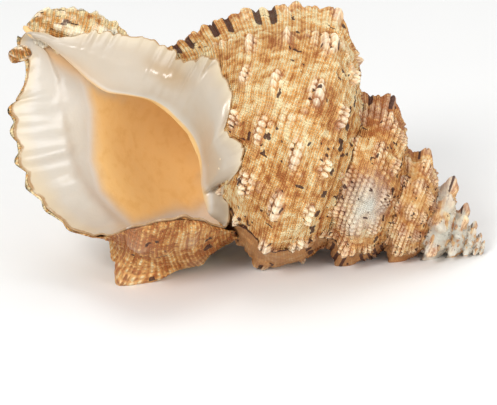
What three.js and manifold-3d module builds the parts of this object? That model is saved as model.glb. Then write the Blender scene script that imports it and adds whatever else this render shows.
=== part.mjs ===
// A giant frog shell, the kind sold as a conch: one coiled shell with a wide mouth, lying on its side.
//
// The shell grows by one rule. A section of the tube turns about the coiling axis, and each full turn
// makes it EXPANSION times larger, measured from the apex. So every surface here is a section, drawn
// once as (along, out) in shares of KEEL_DISTANCE, and swept over growth angles. The outer body is
// overlapping sweeps, the hollow is another that is cut out of them, and the ribbed old lips
// (varices), the shoulder knobs and the flared lip are reliefs on the swept surface.
//
// Shell frame: the apex is the origin, "along" runs down the axis away from the apex, and growth
// angle 0 is the crest of the outer lip. Millimetres and radians throughout.
import * as THREE from "three";
import { mergeVertices } from "three/addons/utils/BufferGeometryUtils.js";
import Module from "manifold-3d";

const wasm = await Module();
wasm.setup();

// ---- driving dimensions ----
const KEEL_DISTANCE = 101; // apex to the shoulder keel at the lip, along the axis
const EXPANSION = 1.55; // growth of every length in one turn
const WALL = 0.04; // wall thickness, in shares of the keel distance
const LIP_WALL = 0.016; // thickness at the lip's edge
const SHIELD = 0.03; // thickness of the callus shield beside the mouth
const SHIELD_LIFT = 0.01; // height of the shield over the turn it lies on
const BLADE_HEIGHT = 0.055; // height of the shield over the axis beside the canal
const FIRST_TURN = -8; // the tip starts this many turns before the lip
const HOLLOW_TURNS = -1.3; // the hollow is followed this far back from the lip

// ---- the pose it rests in ----
const AXIS_TILT = THREE.MathUtils.degToRad(31.5); // the axis dips this much towards the apex
const ROLL_BACK = THREE.MathUtils.degToRad(21.35); // the mouth faces up by this much
const WORN_TIP = 0.8; // depth worn off the knobs that it rests on

const DEG = Math.PI / 180;
const TURN = 2 * Math.PI;

// ---- the section, from the suture over the keel to the end of the canal: (along, out) ----
const SECTION = new THREE.SplineCurve(
  [
    [0.8, 0.335], // suture on the turn before
    [0.865, 0.405],
    [0.935, 0.49],
    [1.0, 0.545], // shoulder keel
    [1.07, 0.547],
    [1.14, 0.53],
    [1.22, 0.5], // second keel
    [1.31, 0.45],
    [1.4, 0.38],
    [1.48, 0.295],
    [1.545, 0.21],
    [1.6, 0.15],
    [1.68, 0.11],
    [1.76, 0.095],
    [1.79, 0.07], // canal tip
  ].map(([along, out]) => new THREE.Vector2(along, out)),
);
// Where the named points of the section lie along it, from 0 at the suture to 1 at the canal tip.
const KEEL = 0.275;
const SECOND_KEEL = 0.375;
const CANAL = 0.8;

// The section's buried side, back from the canal tip to the suture, close to the axis.
const BURIED_SIDE = [
  [1.74, 0.02],
  [1.45, 0.02],
  [1.15, 0.02],
  [0.95, 0.06],
  [0.84, 0.2],
].map(([along, out]) => new THREE.Vector2(along, out));

// The hollow's inner side, from the canal along the columella and the parietal wall to the suture.
const COLUMELLA_SIDE = [
  [1.83, 0.03],
  [1.7, 0.035],
  [1.56, 0.045],
  [1.42, 0.055],
  [1.28, 0.062],
  [1.18, 0.075],
  [1.1, 0.105],
  [1.03, 0.165],
  [0.97, 0.24],
  [0.915, 0.3],
].map(([along, out]) => new THREE.Vector2(along, out));

// ---- helpers ----
const bump = (x, width) => Math.exp(-((x / width) ** 2));

/** Growth angle from the nearest multiple of `step`, both in radians. */
const offStep = (angle, step) => angle - step * Math.round(angle / step);

/** Evenly spaced values from `first` to `last`, both included. */
const spaced = (first, last, steps) =>
  Array.from({ length: steps + 1 }, (_, i) => first + ((last - first) * i) / steps);

/** A value read off a list of [place, value] pairs, straight between them. */
function along(table, place) {
  const next = table.findIndex(([at]) => at >= place);
  if (next < 0) return table[table.length - 1][1];
  if (next === 0) return table[0][1];
  const [a, va] = table[next - 1];
  const [b, vb] = table[next];
  return va + ((vb - va) * (place - a)) / (b - a);
}

/** A section point at a growth angle, in the shell frame. */
function grown(alongAxis, out, angle) {
  const size = KEEL_DISTANCE * EXPANSION ** (angle / TURN);
  return new THREE.Vector3(
    size * out * Math.cos(angle),
    -size * out * Math.sin(angle),
    -size * alongAxis,
  );
}

// ---- relief ----
const VARIX_STEP = 180 * DEG; // old lips lie on the two sides of the shell
const KNOB_STEP = 45 * DEG;
const VARIX_HEIGHT = [
  [0, 0.01],
  [KEEL, 0.024],
  [SECOND_KEEL, 0.03],
  [0.6, 0.03],
  [CANAL, 0.02],
  [1, 0],
];

/** Height of the varices and knobs over the plain section, in shares of the keel distance. */
function relief(place, angle) {
  const fromVarix = offStep(angle, VARIX_STEP);
  const fromKnob = offStep(angle, KNOB_STEP);
  const onKeel = bump(place - KEEL, 0.055);
  const onSecondKeel = bump(place - SECOND_KEEL, 0.04);
  const varix = along(VARIX_HEIGHT, place) * bump(fromVarix, 9 * DEG);
  const spike = 0.012 * bump(fromVarix, 8 * DEG) + 0.035 * bump(angle, 8 * DEG);
  // The knobs of the spiny tip and the last one on the back are the tallest.
  const tipShare = THREE.MathUtils.smoothstep(-angle / TURN, 2.5, 4);
  const knobHeight = 0.025 + 0.03 * tipShare + 0.06 * bump(angle + KNOB_STEP, 25 * DEG);
  const knob = knobHeight * bump(fromKnob, 10 * DEG);
  const lowKnob = 0.014 * bump(fromKnob, 9 * DEG);
  return varix + (spike + knob) * onKeel + lowKnob * onSecondKeel;
}

// ---- the outer lip ----
const FLARE_START = -34 * DEG;
// How far the lip's edge grows past the crest at each place of the section.
const LIP_EDGE = [
  [0, 16 * DEG],
  [0.1, 30 * DEG],
  [0.2, 36 * DEG],
  [0.3, 26 * DEG],
  [SECOND_KEEL, 12 * DEG],
  [0.48, 5 * DEG],
  [CANAL, 4 * DEG],
  [1, 14 * DEG],
];
// How far the flared edge stands out from the plain section.
const LIP_FLARE = [
  [0.2, 0],
  [0.3, 0.02],
  [SECOND_KEEL, 0.055],
  [0.5, 0.1],
  [0.6, 0.15],
  [0.68, 0.165],
  [0.78, 0.14],
  [0.86, 0.08],
  [0.93, 0.03],
  [1, 0],
];

/** How far a growth angle is through the flared stretch, from 0 to 1 at the lip's edge. */
function flareShare(place, angle) {
  const edge = along(LIP_EDGE, place);
  return THREE.MathUtils.clamp((angle - FLARE_START) / (edge - FLARE_START), 0, 1.4);
}

/** A point of the outer skin, or `depth` under it. The relief fades out with depth. */
function skin(place, angle, depth = 0) {
  const point = SECTION.getPointAt(place);
  const slope = SECTION.getTangentAt(place);
  const flare = along(LIP_FLARE, place) * flareShare(place, angle) ** 2;
  const height = depth > 0 ? flare - depth : flare + relief(place, angle);
  return grown(point.x - slope.y * height, point.y + slope.x * height, angle);
}

/** Wall thickness at a place of the section and a growth angle. */
function wall(place, angle) {
  const share = Math.min(1, flareShare(place, angle));
  return THREE.MathUtils.lerp(WALL, LIP_WALL, share ** 3);
}

// ---- swept solids ----
const PLACES = spaced(0, 1, 17);

/** Triangles that fill a flat ring, wound the way the ring runs. */
function capOf(flatRing) {
  const triangles = THREE.ShapeUtils.triangulateShape(flatRing, []);
  const ringTurns = Math.sign(THREE.ShapeUtils.area(flatRing));
  return triangles.map((corners) => {
    const turns = Math.sign(THREE.ShapeUtils.area(corners.map((i) => flatRing[i])));
    return turns === ringTurns ? corners : [corners[0], corners[2], corners[1]];
  });
}

/** Joins equal rings of points into one closed solid. The first and last rings are capped. */
function solidFromRings(rings, flatRing) {
  const count = rings[0].length;
  const positions = rings.flat().flatMap((p) => [p.x, p.y, p.z]);
  const faces = [];
  for (let ring = 0; ring + 1 < rings.length; ring += 1) {
    for (let i = 0; i < count; i += 1) {
      const a = ring * count + i;
      const b = ring * count + ((i + 1) % count);
      faces.push(a, a + count, b + count, a, b + count, b);
    }
  }
  const last = (rings.length - 1) * count;
  for (const [a, b, c] of capOf(flatRing)) {
    faces.push(a, b, c, last + a, last + c, last + b);
  }
  const geometry = new THREE.BufferGeometry();
  geometry.setAttribute("position", new THREE.Float32BufferAttribute(positions, 3));
  geometry.setIndex(faces);
  const solid = solidOf(geometry);
  return solid.volume() < 0 ? solidOf(flipped(geometry)) : solid;
}

/** The same geometry with its faces turned round. */
function flipped(geometry) {
  const turned = geometry.clone();
  const index = Array.from(geometry.index.array);
  for (let i = 0; i < index.length; i += 3) {
    [index[i + 1], index[i + 2]] = [index[i + 2], index[i + 1]];
  }
  turned.setIndex(index);
  return turned;
}

/** A closed three.js geometry as a manifold-3d solid. */
function solidOf(geometry, tolerance = 1e-4) {
  const plain = new THREE.BufferGeometry();
  plain.setAttribute("position", geometry.getAttribute("position").clone());
  plain.setIndex(geometry.index);
  const merged = mergeVertices(plain, tolerance);
  return new wasm.Manifold(
    new wasm.Mesh({
      numProp: 3,
      vertProperties: merged.attributes.position.array,
      triVerts: new Uint32Array(merged.index.array),
    }),
  );
}

/** One closed ring of the outer body, with each place of the section at its own growth angle. */
function bodyRing(angleAt) {
  return [
    ...PLACES.map((place) => skin(place, angleAt(place))),
    ...BURIED_SIDE.map((p) => grown(p.x, p.y, angleAt(1))),
  ];
}

/** A stretch of the outer body from rings. Its ends fit the stretches before and after it. */
const bodyFromRings = (rings) =>
  solidFromRings(rings, [...PLACES.map((p) => SECTION.getPointAt(p)), ...BURIED_SIDE]);

/** A stretch of the outer body between two growth angles. */
const whorl = (first, last, steps) =>
  bodyFromRings(spaced(first, last, steps).map((angle) => bodyRing(() => angle)));

/** The last stretch, which ends on the lip's edge. */
function lastWhorl(first) {
  const backKnob = -KNOB_STEP;
  const plain = spaced(first, backKnob, 15).map((angle) => bodyRing(() => angle));
  const lip = spaced(0, 1, 8).map((share) =>
    bodyRing((place) => THREE.MathUtils.lerp(backKnob, along(LIP_EDGE, place), share)),
  );
  return bodyFromRings([...plain, ...lip.slice(1)]);
}

/** The hollow: the section less its wall, from deep inside to past the lip. */
function hollow(points) {
  const places = spaced(0.06, 0.985, points);
  const inner = (p, angle) => skin(p, angle, wall(p, angle));
  const flatRing = [
    ...places.map((p) => {
      const point = SECTION.getPointAt(p);
      const slope = SECTION.getTangentAt(p);
      return new THREE.Vector2(point.x + slope.y * WALL, point.y - slope.x * WALL);
    }),
    ...COLUMELLA_SIDE,
  ];
  const ringAt = (angleOf) => [
    ...places.map((p) => inner(p, angleOf(p))),
    ...COLUMELLA_SIDE.map((p) => grown(p.x, p.y, angleOf(0.5))),
  ];
  const tail = spaced(HOLLOW_TURNS * TURN, FLARE_START, 30).map((angle) =>
    ringAt(() => angle),
  );
  const mouth = spaced(0, 1, 5)
    .slice(1)
    .map((share) =>
      ringAt((p) => THREE.MathUtils.lerp(FLARE_START, along(LIP_EDGE, p), share)),
    );
  const past = [10, 22].map((extra) =>
    ringAt((p) => along(LIP_EDGE, p) + extra * DEG),
  );
  return solidFromRings([...tail, ...mouth, ...past], flatRing);
}

/** The core that the turns wind round, from the apex to the canal. */
function columella() {
  const end = 1.72 * KEEL_DISTANCE;
  const profile = [
    new THREE.Vector2(0, -end),
    new THREE.Vector2(0.034 * end, -end),
    new THREE.Vector2(0.02, -0.6),
    new THREE.Vector2(0, -0.6),
  ];
  return solidOf(new THREE.LatheGeometry(profile, 10).rotateX(Math.PI / 2));
}

// ---- the back of the canal: [along, sideways, height over the mouth's side, radius] ----
const CANAL_BACK = [
  [1.33, 0.0, 0.01, 0.03],
  [1.42, -0.02, 0.02, 0.066],
  [1.52, -0.035, 0.03, 0.086],
  [1.62, -0.03, 0.035, 0.084],
  [1.71, -0.01, 0.03, 0.07],
  [1.765, 0.01, 0.02, 0.045],
  [1.785, 0.02, 0.01, 0.02],
];

/** The swollen back of the old canals, a lumpy spindle round the end of the axis. */
function canalBack() {
  const turnAngles = spaced(0, TURN, 12).slice(0, -1);
  const rings = CANAL_BACK.map(([a, x, y, radius]) =>
    turnAngles.map((angle) =>
      new THREE.Vector3(
        x + radius * Math.cos(angle),
        y + radius * Math.sin(angle),
        -a,
      ).multiplyScalar(KEEL_DISTANCE),
    ),
  );
  const flatRing = turnAngles.map(
    (angle) => new THREE.Vector2(Math.cos(angle), Math.sin(angle)),
  );
  return solidFromRings(rings, flatRing);
}

// ---- the callus shield: [free edge along, sideways, mouth edge along, sideways] ----
const SHIELD_LINES = [
  [1.775, 0.03, 1.76, 0.07],
  [1.709, 0.02, 1.69, 0.09],
  [1.64, 0.005, 1.63, 0.1],
  [1.564, -0.07, 1.56, 0.11],
  [1.495, -0.086, 1.5, 0.12],
  [1.43, -0.108, 1.43, 0.11],
  [1.364, -0.133, 1.36, 0.09],
  [1.29, -0.118, 1.29, 0.075],
  [1.224, -0.12, 1.23, 0.075],
  [1.175, -0.166, 1.18, 0.085],
  [1.12, -0.148, 1.13, 0.1],
  [1.045, -0.085, 1.09, 0.125],
  [1.0, 0.04, 1.05, 0.165],
  [0.925, 0.065, 1.015, 0.21],
  [0.905, 0.14, 0.985, 0.25],
  [0.92, 0.21, 0.96, 0.285],
  [0.885, 0.27, 0.94, 0.31],
];

/** Radius of the plain section at a distance along the axis. */
function sectionOut(alongAxis) {
  const points = SECTION.points;
  const table = points.map((p) => [p.x, p.y]);
  return along(table, THREE.MathUtils.clamp(alongAxis, points[0].x, points.at(-1).x));
}

/** Height of the turn before the mouth, on the mouth's side, in shares of the keel distance. */
function frontOfTurn(alongAxis, sideways) {
  let angle = -0.75 * TURN;
  let out = 0;
  for (let pass = 0; pass < 6; pass += 1) {
    const size = EXPANSION ** (angle / TURN);
    out = size * sectionOut(alongAxis / size);
    angle = Math.acos(THREE.MathUtils.clamp(sideways / out, -1, 1)) - TURN;
  }
  return Math.sqrt(Math.max(0, out ** 2 - sideways ** 2));
}

/** The glazed shield laid over the turn before and standing off the canal as a thin blade. */
function shield(columns) {
  const front = SHIELD_LINES.map(([freeA, freeX, mouthA, mouthX]) =>
    spaced(0, 1, columns).map((share) => {
      const a = THREE.MathUtils.lerp(freeA, mouthA, share);
      const x = THREE.MathUtils.lerp(freeX, mouthX, share);
      const y = Math.hypot(frontOfTurn(a, x), BLADE_HEIGHT) + SHIELD_LIFT * share;
      return new THREE.Vector3(x, -y, -a).multiplyScalar(KEEL_DISTANCE);
    }),
  );
  const back = new THREE.Vector3(0, SHIELD * KEEL_DISTANCE, 0);
  const rings = front.map((line) => [
    ...line,
    ...line.map((p) => p.clone().add(back)).reverse(),
  ]);
  const flatRing = [
    ...spaced(0, 1, columns).map((x) => new THREE.Vector2(x, 0)),
    ...spaced(1, 0, columns).map((x) => new THREE.Vector2(x, 1)),
  ];
  return solidFromRings(rings, flatRing);
}

// ---- the shell ----
const tip = whorl(FIRST_TURN * TURN, -7 * TURN, 8)
  .add(whorl(-7 * TURN, -6 * TURN, 8))
  .add(whorl(-6 * TURN, -5 * TURN, 8))
  .add(whorl(-5 * TURN, -4 * TURN, 12))
  .add(whorl(-4 * TURN, -3 * TURN, 12));
const spire = whorl(-3 * TURN, -2 * TURN, 16)
  .add(whorl(-2 * TURN, -1 * TURN, 24));
const body = whorl(-1 * TURN, -0.5 * TURN, 20)
  .add(lastWhorl(-0.5 * TURN));

const whole = tip
  .add(spire)
  .add(body)
  .add(columella())
  .add(canalBack())
  .add(shield(3))
  .subtract(hollow(14));

/** A manifold-3d solid as a three.js geometry. */
function geometryOf(solid) {
  const mesh = solid.getMesh();
  const geometry = new THREE.BufferGeometry();
  geometry.setAttribute(
    "position",
    new THREE.BufferAttribute(new Float32Array(mesh.vertProperties), 3),
  );
  geometry.setIndex(new THREE.BufferAttribute(new Uint32Array(mesh.triVerts), 1));
  return geometry;
}

/** The largest body of a solid, without the crumbs that the joins and cuts leave. */
const largest = (solid) =>
  solid.decompose().sort((a, b) => b.volume() - a.volume())[0];

// The axis turned so that the apex points along +X and down, then the mouth rolled back.
const lying = geometryOf(largest(whole)).applyMatrix4(
  new THREE.Matrix4()
    .makeRotationX(-ROLL_BACK)
    .multiply(new THREE.Matrix4().makeRotationY(Math.PI / 2 + AXIS_TILT)),
);
lying.computeBoundingBox();
const box = lying.boundingBox;
lying.translate(
  -(box.min.x + box.max.x) / 2,
  -(box.min.y + box.max.y) / 2,
  -box.min.z - WORN_TIP,
);

// The knobs it stands on are worn flat where they meet the ground.
const ground = solidOf(new THREE.BoxGeometry(400, 400, 20).translate(0, 0, -10));
const worn = geometryOf(solidOf(lying).subtract(ground));
const resting = geometryOf(largest(solidOf(worn, 1e-3)));

const group = new THREE.Group();
const mesh = new THREE.Mesh(
  resting,
  new THREE.MeshStandardMaterial({ color: 0xd9a869, roughness: 0.6, metalness: 0 }),
);
mesh.name = "conch_shell";
group.add(mesh);

export default group;
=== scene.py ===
"""A giant frog shell, the kind sold as a conch, on its side with its mouth to the front."""

import logging
import math
from dataclasses import dataclass, field
from enum import Enum
from typing import Any, Callable, Sequence

import bmesh
import bpy
import numpy as np
from mathutils import Matrix, Vector


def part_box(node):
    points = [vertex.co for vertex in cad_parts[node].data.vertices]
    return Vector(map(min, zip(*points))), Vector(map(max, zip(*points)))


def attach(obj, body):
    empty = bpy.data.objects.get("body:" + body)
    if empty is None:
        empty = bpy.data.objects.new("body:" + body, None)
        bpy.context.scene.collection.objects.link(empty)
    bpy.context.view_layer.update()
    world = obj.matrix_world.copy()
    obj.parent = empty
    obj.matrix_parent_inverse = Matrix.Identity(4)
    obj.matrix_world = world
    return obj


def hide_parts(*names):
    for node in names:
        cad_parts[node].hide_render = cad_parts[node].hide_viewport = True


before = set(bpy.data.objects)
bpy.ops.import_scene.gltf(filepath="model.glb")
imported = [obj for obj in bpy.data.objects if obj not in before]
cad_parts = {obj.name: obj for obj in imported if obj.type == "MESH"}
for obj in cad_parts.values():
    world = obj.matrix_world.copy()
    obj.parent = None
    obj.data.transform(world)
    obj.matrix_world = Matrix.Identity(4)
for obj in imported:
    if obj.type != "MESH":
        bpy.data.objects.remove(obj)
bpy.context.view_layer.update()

LOG = logging.getLogger("shell")
Array = np.ndarray
Layers = dict[str, Array]
Operator = Callable[["Wire", "Wire | float"], "Wire"]

DEG = math.pi / 180
TURN = 2 * math.pi
BODY = "root"
NODE = "conch_shell"
WELD = 1e-7


# ---- curves and noise
def bump(x: Array, width: float) -> Array:
    """A smooth hill of height 1 at x = 0.

    Args:
        x: Distance from the top.
        width: Distance at which the hill has fallen to 1/e.

    Returns:
        The height at each x.
    """
    return np.exp(-((x / width) ** 2))


def ease(x: Array, low: float, high: float) -> Array:
    """A smooth step from 0 at low to 1 at high.

    Args:
        x: Values to step.
        low: Where the step starts.
        high: Where it ends.

    Returns:
        The step at each x.
    """
    t = np.clip((x - low) / (high - low), 0.0, 1.0)
    return t * t * (3 - 2 * t)


def wave(turns: Array) -> Array:
    """A wave from 0 to 1 with one crest at every whole number."""
    return 0.5 + 0.5 * np.cos(TURN * turns)


def off_step(angle: Array, step: float) -> Array:
    """Distance from the nearest multiple of step."""
    return angle - step * np.round(angle / step)


@dataclass(frozen=True)
class Table:
    """A smooth curve through (place, value) pairs."""

    pairs: tuple[tuple[float, float], ...]

    def at(self, place: Array) -> Array:
        """Reads the curve.

        Args:
            place: Places to read it at; beyond the ends it stays level.

        Returns:
            The value at each place.
        """
        x = np.array([p for p, _ in self.pairs])
        y = np.array([v for _, v in self.pairs])
        slope = np.gradient(y, x)
        at = np.clip(place, x[0], x[-1])
        i = np.clip(np.searchsorted(x, at, side="right") - 1, 0, len(x) - 2)
        step = x[i + 1] - x[i]
        t = (at - x[i]) / step
        return (
            y[i] * (1 + 2 * t) * (1 - t) ** 2
            + y[i + 1] * t * t * (3 - 2 * t)
            + step * slope[i] * t * (1 - t) ** 2
            + step * slope[i + 1] * t * t * (t - 1)
        )


def catmull(knots: Array, t: Array) -> Array:
    """Points on Catmull-Rom curves.

    Args:
        knots: The knots of one curve, or a list of them for each t.
        t: Places on the curve, where 0 is the first knot and 1 the next.

    Returns:
        One point for each t.
    """
    if knots.ndim == 2:
        knots = np.broadcast_to(knots, (len(t), *knots.shape))
    last = knots.shape[1] - 1
    i = np.clip(np.floor(t).astype(int), 0, last - 1)
    pick = np.arange(len(t))
    s = (t - i)[:, None]
    p0, p1 = knots[pick, np.maximum(i - 1, 0)], knots[pick, i]
    p2, p3 = knots[pick, i + 1], knots[pick, np.minimum(i + 2, last)]
    v0, v1 = (p2 - p0) / 2, (p3 - p1) / 2
    cubic = (2 * p1 - 2 * p2 + v0 + v1) * s**3
    return cubic + (-3 * p1 + 3 * p2 - 2 * v0 - v1) * s**2 + v0 * s + p1


@dataclass
class Noise:
    """Smooth noise from 0 to 1 on a repeating lattice with a fixed seed."""

    seed: int
    lattice: int = 32
    values: Array = field(init=False)

    def __post_init__(self) -> None:
        """Draws the lattice."""
        self.values = np.random.default_rng(self.seed).random((self.lattice,) * 3)

    def pick(self, i: Array, j: Array, sheet: int) -> Array:
        """The lattice's own value for each pair of whole numbers."""
        i, j = i.astype(int) % self.lattice, j.astype(int) % self.lattice
        return self.values[i, j, sheet]

    def at(self, x: Array, y: Array | float, z: Array | float = 0.0) -> Array:
        """Reads the noise.

        Args:
            x: First coordinate, where 1 is one lattice step.
            y: Second coordinate.
            z: Third coordinate.

        Returns:
            The noise at each point.
        """
        point = np.stack(np.broadcast_arrays(x, y, z), axis=-1)
        cell = np.floor(point).astype(int)
        f = point - cell
        f = f * f * (3 - 2 * f)
        total = np.zeros(point.shape[:-1])
        for corner in np.ndindex(2, 2, 2):
            c = np.array(corner)
            weight = np.prod(np.where(c == 1, f, 1 - f), axis=-1)
            i = (cell + c) % self.lattice
            total += weight * self.values[i[..., 0], i[..., 1], i[..., 2]]
        return total


# ---- how the shell grows
@dataclass(frozen=True)
class Growth:
    """The spiral that every surface follows, and how the finished shell lies."""

    keel_distance: float = 0.101
    expansion: float = 1.55
    tilt: float = 31.5 * DEG
    roll: float = 21.35 * DEG
    apex_from_corner: tuple[float, float, float] = (0.000511, -0.066701, -0.089879)

    def share(self, angle: Array) -> Array:
        """Size at a growth angle, where 1 is the size at the lip."""
        return self.expansion ** (angle / TURN)

    def grown(self, along: Array, out: Array, angle: Array) -> Array:
        """Turns section points to their growth angles.

        Args:
            along: Distance down the axis from the apex, in shares.
            out: Distance from the axis, in shares.
            angle: Growth angle.

        Returns:
            Points in the shell's own frame, in shares of the keel distance.
        """
        size = self.share(angle)
        return np.stack(
            [size * out * np.cos(angle), -size * out * np.sin(angle), -size * along],
            axis=-1,
        )

    def turned(self) -> Matrix:
        """The turn from the shell's own frame to the way it lies."""
        lean = Matrix.Rotation(math.pi / 2 + self.tilt, 3, "Y")
        return Matrix.Rotation(-self.roll, 3, "X") @ lean

    def apex(self) -> Vector:
        """Where the apex lies, from the frame's own box."""
        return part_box(NODE)[1] + Vector(self.apex_from_corner)

    def lying(self, points: Array) -> Array:
        """Puts points where the shell lies, worn flat where they would sink into the ground.

        Args:
            points: Points in the shell's own frame, in shares.

        Returns:
            Points in the row frame, in metres.
        """
        placed = points * self.keel_distance @ np.array(self.turned()).T
        placed = placed + np.array(self.apex())
        placed[..., 2] = np.maximum(placed[..., 2], 0.0)
        return placed


@dataclass
class Section:
    """The outline of one turn, from the suture over the keel to the canal's tip."""

    # down the axis and out from it, in shares
    points: tuple[tuple[float, float], ...] = (
        (0.8, 0.335), (0.865, 0.405), (0.935, 0.49), (1.0, 0.545), (1.07, 0.547),
        (1.14, 0.53), (1.22, 0.5), (1.31, 0.45), (1.4, 0.38), (1.48, 0.295), (1.545, 0.21),
        (1.6, 0.15), (1.68, 0.11), (1.76, 0.095), (1.79, 0.07),
    )
    fineness: int = 40

    def __post_init__(self) -> None:
        """Measures the outline."""
        steps = (len(self.points) - 1) * self.fineness
        t = np.linspace(0, len(self.points) - 1, steps + 1)
        self.line = catmull(np.array(self.points), t)
        lengths = np.linalg.norm(np.diff(self.line, axis=0), axis=1)
        self.at_length = np.concatenate([[0.0], np.cumsum(lengths)])
        self.at_length /= self.at_length[-1]
        slope = np.gradient(self.line, axis=0)
        self.slope = slope / np.linalg.norm(slope, axis=1)[:, None]

    def raised(self, place: Array, height: Array | float) -> tuple[Array, Array]:
        """Points at a height over the outline.

        Args:
            place: Where on the outline, from 0 to 1.
            height: Height over it, in shares.

        Returns:
            The distances along the axis and out from it.
        """
        curves = (*self.line.T, *self.slope.T)
        along, out, slope_along, slope_out = (
            np.interp(place, self.at_length, curve) for curve in curves
        )
        return along - slope_out * height, out + slope_along * height

    def out_at(self, along: Array) -> Array:
        """The outline's distance from the axis at a distance along it."""
        return np.interp(along, self.line[:, 0], self.line[:, 1])


GROWTH = Growth()
SECTION = Section()


# ---- mesh sheets
@dataclass
class Sheet:
    """A piece that is a grid of vertices, wrapped on a surface and closed into one solid."""

    name: str
    rows: int
    columns: int

    def moved(self, row: Array, column: Array) -> tuple[Array, Layers]:
        """Gives the points and the layers for arrays of rows and columns."""
        raise NotImplementedError

    def bent(self) -> bmesh.types.BMesh:
        """Bends the grid and welds its seam.

        Returns:
            The mesh, open at its first and last rows.
        """
        bm = bmesh.new()
        bmesh.ops.create_grid(bm, x_segments=self.rows, y_segments=self.columns, size=0.5)
        flat = np.array([v.co[:2] for v in bm.verts]) + 0.5
        row = np.rint(flat[:, 0] * self.rows)
        column = np.rint(flat[:, 1] * self.columns)
        points, layers = self.moved(row, column)
        for vert, point in zip(bm.verts, points.tolist()):
            vert.co = point
        for name, values in layers.items():
            layer = bm.verts.layers.float.new(name)
            for vert, value in zip(bm.verts, values.tolist()):
                vert[layer] = value
        edge = [v for v in bm.verts if v.is_boundary]
        bmesh.ops.remove_doubles(bm, verts=edge, dist=WELD)
        return bm

    def made(self, material: bpy.types.Material) -> bpy.types.Object:
        """Builds the piece.

        Args:
            material: Its finish.

        Returns:
            The piece, with its open ends filled and its faces outwards.
        """
        bm = self.bent()
        rim = [e for e in bm.edges if e.is_boundary]
        caps = bmesh.ops.holes_fill(bm, edges=rim, sides=0)["faces"]
        bmesh.ops.triangulate(bm, faces=caps, quad_method="BEAUTY", ngon_method="EAR_CLIP")
        bmesh.ops.recalc_face_normals(bm, faces=bm.faces)
        if bm.calc_volume(signed=True) < 0:
            bmesh.ops.reverse_faces(bm, faces=bm.faces)
        return piece(self.name, bm, material)


def piece(name: str, bm: bmesh.types.BMesh, material: bpy.types.Material) -> bpy.types.Object:
    """Makes a smooth mesh a piece of the shell.

    Args:
        name: The piece's name.
        bm: Its mesh, which is used up.
        material: Its finish.

    Returns:
        The object, riding on the shell's body.
    """
    for face in bm.faces:
        face.smooth = True
    mesh = bpy.data.meshes.new(name)
    bm.to_mesh(mesh)
    bm.free()
    mesh.materials.append(material)
    made = bpy.data.objects.new(name, mesh)
    bpy.context.scene.collection.objects.link(made)
    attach(made, BODY)
    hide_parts(NODE)
    return made


# ---- shader graph
def operators(name: str) -> tuple[Operator, Operator]:
    """Makes the Python operators that add one kind of Math node.

    Args:
        name: The Math node's operation.

    Returns:
        The operator, and its reflected form.
    """
    return (
        lambda wire, other: wire.board.math(name, wire, other),
        lambda wire, other: wire.board.math(name, other, wire),
    )


class Wire:
    """A node's output that can be used in Python sums."""

    __add__, __radd__ = operators("ADD")
    __sub__, __rsub__ = operators("SUBTRACT")
    __mul__, __rmul__ = operators("MULTIPLY")

    def __init__(self, board: "Board", socket: bpy.types.NodeSocket) -> None:
        """Holds the socket and the graph it is in."""
        self.board = board
        self.socket = socket

    def held(self) -> "Wire":
        """The value held between 0 and 1."""
        return self.board.node("ShaderNodeClamp", {}, {"Value": self, "Min": 0.0, "Max": 1.0})

    def step(self, low: float, high: float) -> "Wire":
        """A smooth step from 0 at low to 1 at high.

        Args:
            low: Where the step starts.
            high: Where it ends.

        Returns:
            The stepped value.
        """
        return self.board.node(
            "ShaderNodeMapRange",
            {"interpolation_type": "SMOOTHSTEP"},
            {"Value": self, "From Min": low, "From Max": high},
        )

    def wave(self) -> "Wire":
        """A wave from 0 to 1 with one crest at every whole number."""
        return self.board.math("COSINE", self * TURN, 0.0) * 0.5 + 0.5


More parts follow.
